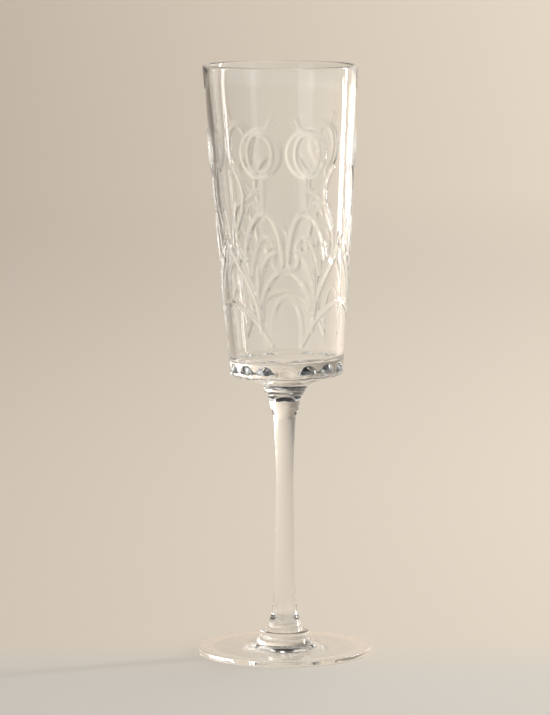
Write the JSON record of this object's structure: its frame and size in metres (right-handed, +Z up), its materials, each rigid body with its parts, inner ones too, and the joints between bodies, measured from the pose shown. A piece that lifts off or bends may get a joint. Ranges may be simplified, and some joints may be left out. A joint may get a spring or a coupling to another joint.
{
  "type": "champagne flute",
  "caption": "Tall tapering clear-glass flute with a moulded fruit and leaf relief, a thick solid bowl base, a waisted stem between glass collars and a thin round foot.",
  "frame": {"origin": "centre of the foot's flat resting face, on the flute's axis", "axes": "+Z up along the flute's axis from foot to rim; -Y is the side that faces the viewer, midway between the two fruits of a mirrored pair to within 1 degree"},
  "size_m": [0.0664, 0.0664, 0.225],
  "materials": {
    "bowl_glass": "clear fire-polished glass, smooth inside, softly moulded relief outside",
    "collar_glass": "clear fire-polished glass",
    "stem_glass": "clear fire-polished glass",
    "foot_glass": "clear fire-polished glass with faint spinning marks"
  },
  "bodies": {
    "root": {"bowl": "bowl_glass", "upper_collar": "collar_glass", "stem": "stem_glass", "lower_collar": "collar_glass", "foot": "foot_glass"}
  },
  "joints": []
}
